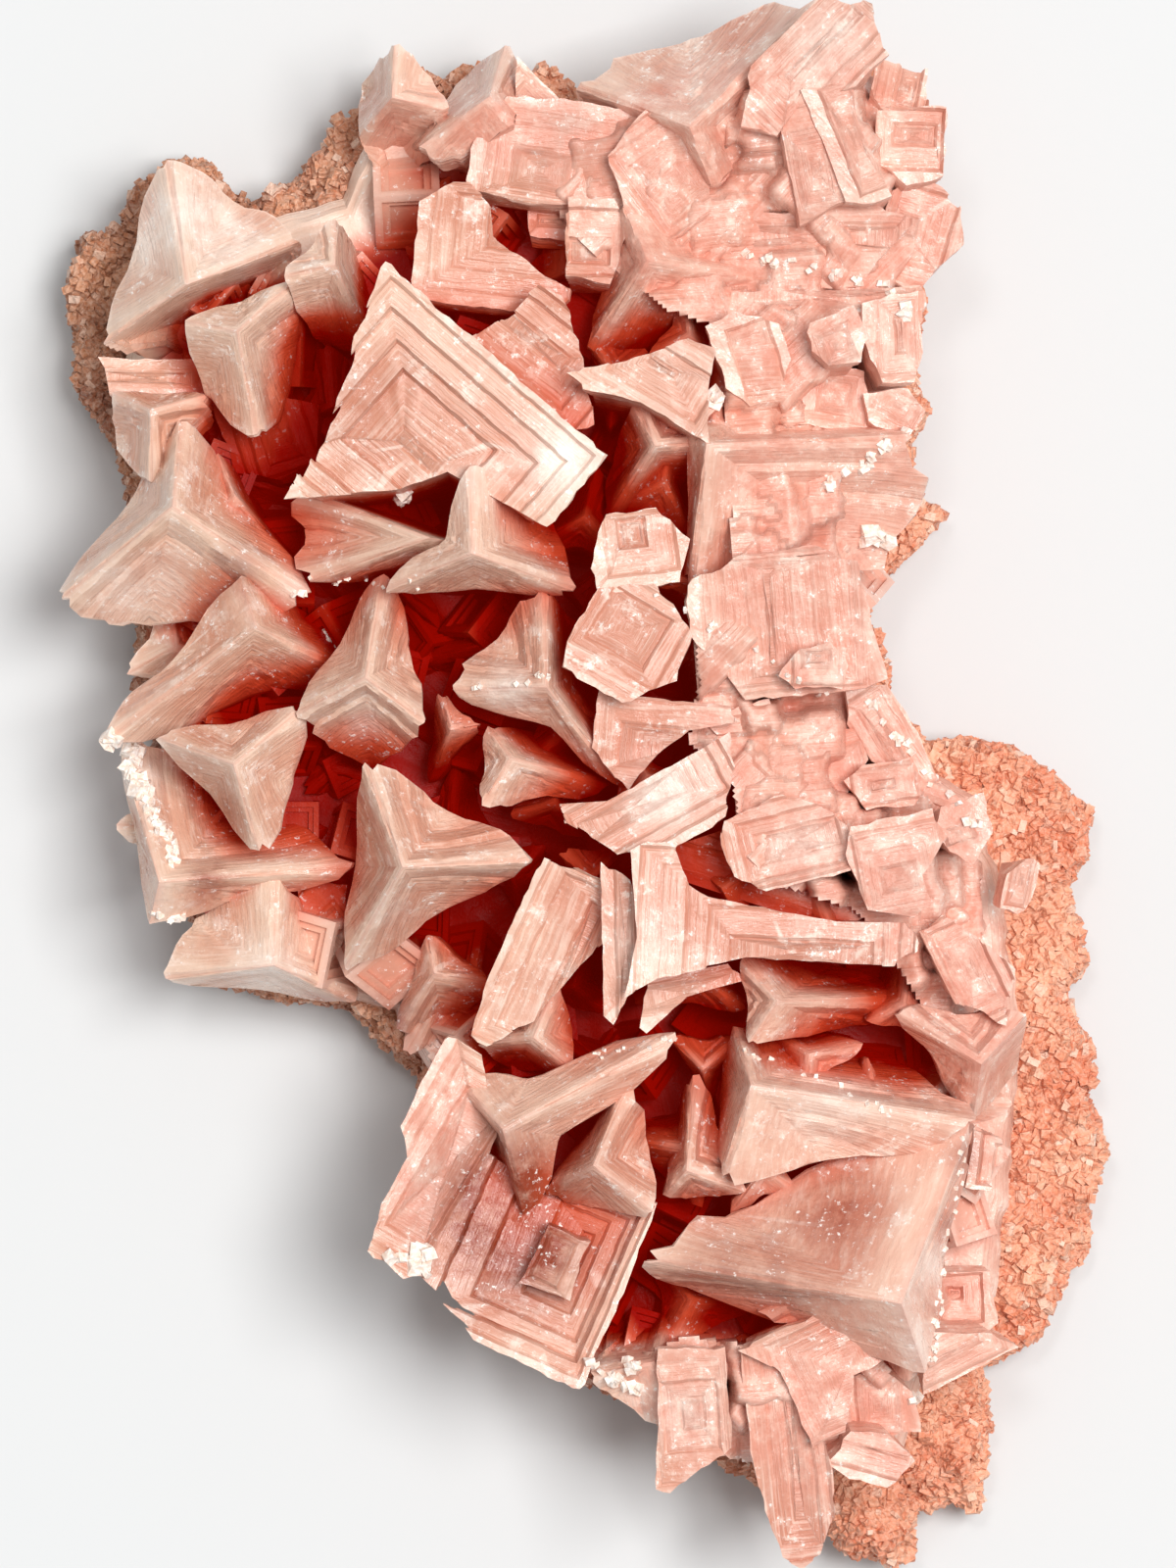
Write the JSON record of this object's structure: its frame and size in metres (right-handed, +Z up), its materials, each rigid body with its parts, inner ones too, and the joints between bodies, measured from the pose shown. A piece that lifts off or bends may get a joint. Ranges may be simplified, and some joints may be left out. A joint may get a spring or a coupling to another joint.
{
  "type": "halite crystal specimen",
  "caption": "Loose mineral specimen of pink hopper halite: stepped, hollow-faced cube corners grown together on a sandy salt crust.",
  "frame": {"origin": "on the flat underside of the crust, at the resting plane, under the middle of the picture", "axes": "+Z up out of the crystals towards the camera, +Y along the specimen towards its upper end in the picture, +X to the right in the picture"},
  "size_m": [0.1066, 0.1594, 0.042],
  "materials": {
    "sandy_salt": "granular, dull, with sparkling salt grains",
    "pink_halite": "cloudy, translucent, waxy to glassy with frosted steps"
  },
  "bodies": {
    "root": {"salt_crust": "sandy_salt", "pink_crystals": "pink_halite"}
  },
  "joints": []
}
